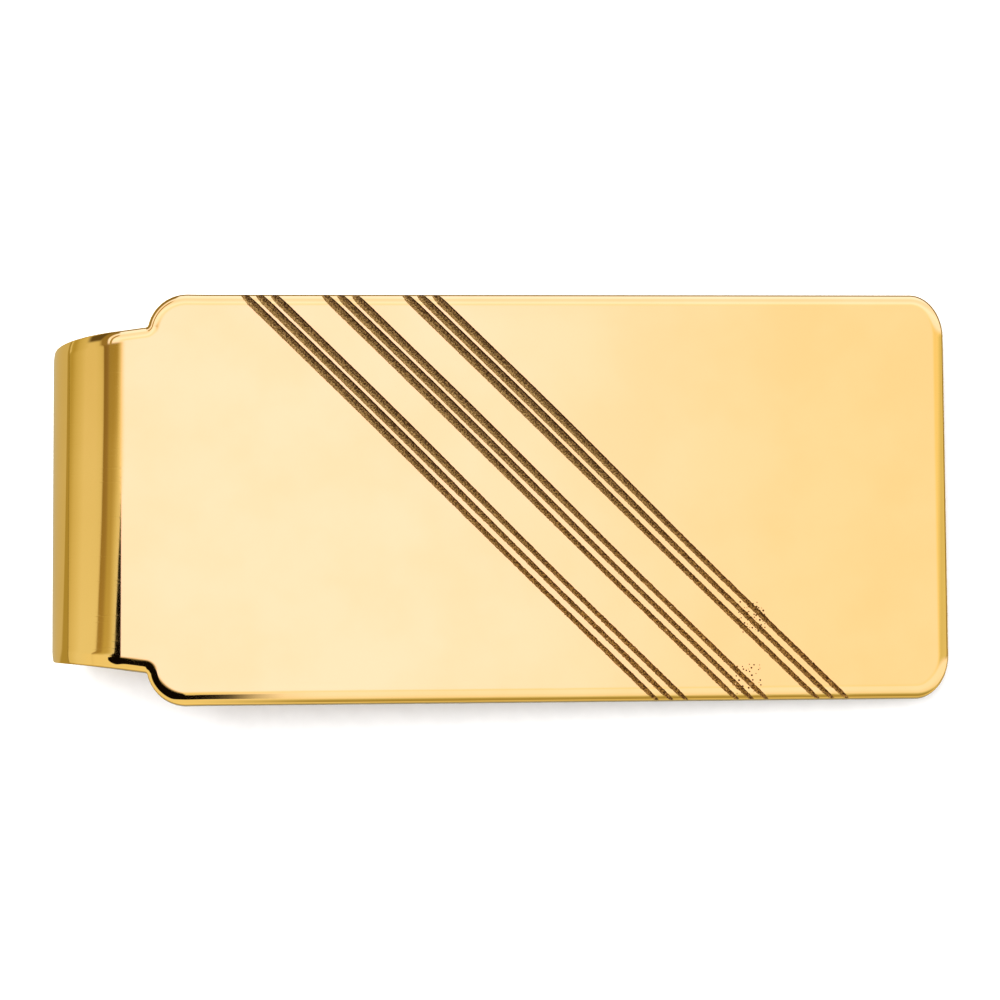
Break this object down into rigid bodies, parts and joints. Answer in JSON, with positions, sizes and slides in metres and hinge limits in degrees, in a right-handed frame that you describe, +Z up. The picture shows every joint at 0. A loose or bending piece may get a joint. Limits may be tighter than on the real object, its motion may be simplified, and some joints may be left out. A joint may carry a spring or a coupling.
{
  "type": "money clip",
  "caption": "Folded spring-brass money clip: a wide engraved front plate, a U-bend and a tapering sprung tongue that grips folded notes.",
  "frame": {"origin": "on the surface that the clip lies on, under the middle of the clip's box", "axes": "+X along the clip from its bend to the plate's open end, +Y across the plate, +Z up, out of the engraved face"},
  "size_m": [0.0544, 0.025, 0.0086],
  "materials": {
    "polished_gold_plate": "polished gold plating on spring brass, with darkened engraved lines"
  },
  "bodies": {
    "plate": {"front_plate": "polished_gold_plate", "spring_bend": "polished_gold_plate"},
    "tongue": {"tongue_root": "polished_gold_plate"},
    "blade": {"tongue_blade": "polished_gold_plate", "grip_tip": "polished_gold_plate"}
  },
  "joints": [
    {"name": "bend_spring", "type": "hinge", "parent": "plate", "child": "tongue", "pos_m": [-0.02288, 0, 0.0043], "axis": [0, 1, 0], "range_deg": [0, 3.6], "stiffness_Nm_per_rad": 13.1, "springref_deg": -0.5, "deforming": ["spring_bend"]},
    {"name": "tongue_flex", "type": "hinge", "parent": "tongue", "child": "blade", "pos_m": [-0.01064, 0, 0.00075], "axis": [0, 1, 0], "range_deg": [0, 5.4], "stiffness_Nm_per_rad": 4.9, "springref_deg": -0.88}
  ],
  "couplings": [
    {"joint": "tongue_flex", "follows": "bend_spring", "ratio": 1.5}
  ]
}
